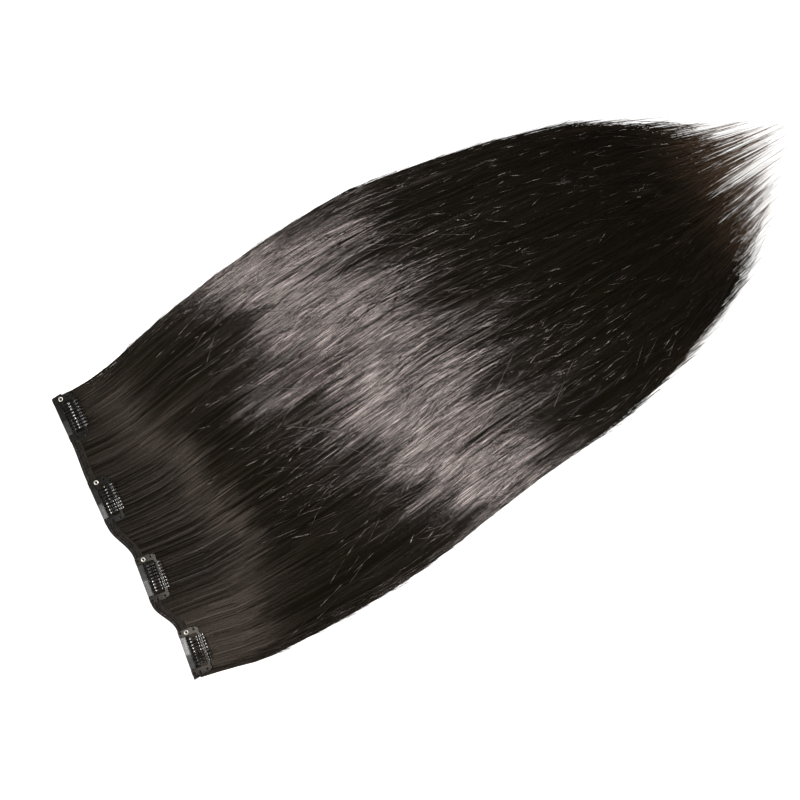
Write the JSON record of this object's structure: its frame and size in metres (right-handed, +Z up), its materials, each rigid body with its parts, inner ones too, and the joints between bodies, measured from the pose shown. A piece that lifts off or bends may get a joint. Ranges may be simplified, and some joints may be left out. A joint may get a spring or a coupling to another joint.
{
  "type": "clip-in hair extension weft",
  "caption": "Straight off-black hair sewn into a stiff weft band, with snap clips along the root whose toothed levers open to grip the wearer's own hair.",
  "frame": {"origin": "under the middle of the weft's bounding box, on the surface that the hair lies on", "axes": "+X along the hair from the root to the tips, +Y along the weft band, +Z up, out of the side that carries the clips"},
  "size_m": [0.5226, 0.245, 0.012],
  "materials": {
    "hair": "satin off-black straight hair",
    "band": "matt black stitched weft head",
    "enamel": "gloss black enamelled sheet steel",
    "nickel": "bright nickel-plated eyelet"
  },
  "bodies": {
    "weft": {"hair": "hair", "weft_band": "band", "clip_1_frame": "enamel", "clip_1_eyelet": "nickel", "clip_2_frame": "enamel", "clip_2_eyelet": "nickel", "clip_3_frame": "enamel", "clip_3_eyelet": "nickel", "clip_4_frame": "enamel", "clip_4_eyelet": "nickel"},
    "clip_1_lever": {"clip_1_comb": "enamel"},
    "clip_2_lever": {"clip_2_comb": "enamel"},
    "clip_3_lever": {"clip_3_comb": "enamel"},
    "clip_4_lever": {"clip_4_comb": "enamel"}
  },
  "joints": [
    {"name": "clip_1_snap", "type": "hinge", "parent": "weft", "child": "clip_1_lever", "pos_m": [-0.24599, 0.09009, 0.00276], "axis": [-0.1253, -0.9921, 0], "range_deg": [0, 40]},
    {"name": "clip_2_snap", "type": "hinge", "parent": "weft", "child": "clip_2_lever", "pos_m": [-0.25499, 0.03009, 0.00276], "axis": [-0.1288, -0.9917, 0], "range_deg": [0, 40]},
    {"name": "clip_3_snap", "type": "hinge", "parent": "weft", "child": "clip_3_lever", "pos_m": [-0.256, -0.02993, 0.00276], "axis": [-0.1908, -0.9816, 0], "range_deg": [0, 40]},
    {"name": "clip_4_snap", "type": "hinge", "parent": "weft", "child": "clip_4_lever", "pos_m": [-0.2572, -0.08643, 0.00276], "axis": [-0.2079, -0.9781, 0], "range_deg": [0, 40]}
  ]
}
